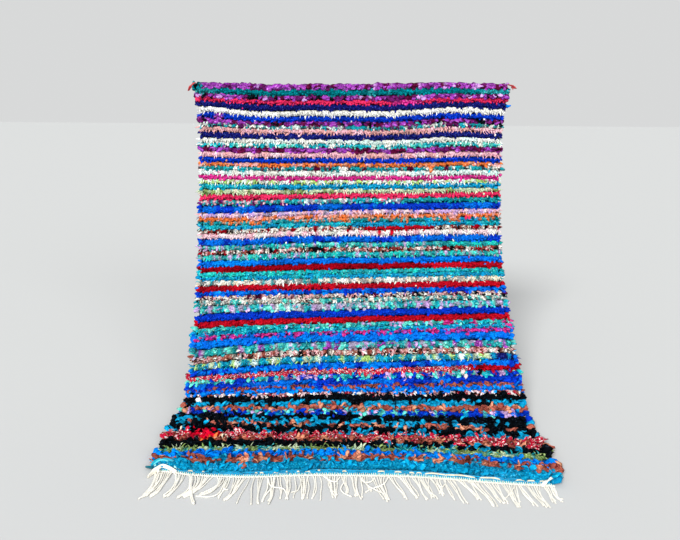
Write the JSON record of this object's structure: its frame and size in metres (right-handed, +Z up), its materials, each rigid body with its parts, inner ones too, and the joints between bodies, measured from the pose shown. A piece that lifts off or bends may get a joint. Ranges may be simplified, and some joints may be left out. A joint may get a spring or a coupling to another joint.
{
  "type": "shaggy rag rug hung from its top edge",
  "caption": "Striped rag pile rug that hangs from its top edge, leans out on its way down and lies flat at its foot, with a flat-woven hem, a white warp fringe and a tie at each top corner.",
  "frame": {"origin": "middle of the woven top edge, on the wall plane that the rug's back touches", "axes": "+X to the right along the top edge as seen from the front, +Y into the wall, +Z up"},
  "size_m": [1.618, 1.1891, 1.4478],
  "materials": {
    "rag_pile": "knotted cotton and synthetic rag locks in horizontal stripes of many colours on a woven cotton cloth",
    "cotton_warp": "undyed plied cotton yarn, matt",
    "red_rag": "twisted red cotton rag, matt"
  },
  "bodies": {
    "root": {"rug_body": "rag_pile", "fringe": "cotton_warp", "corner_tie_left": "red_rag", "corner_tie_right": "red_rag"}
  },
  "joints": []
}
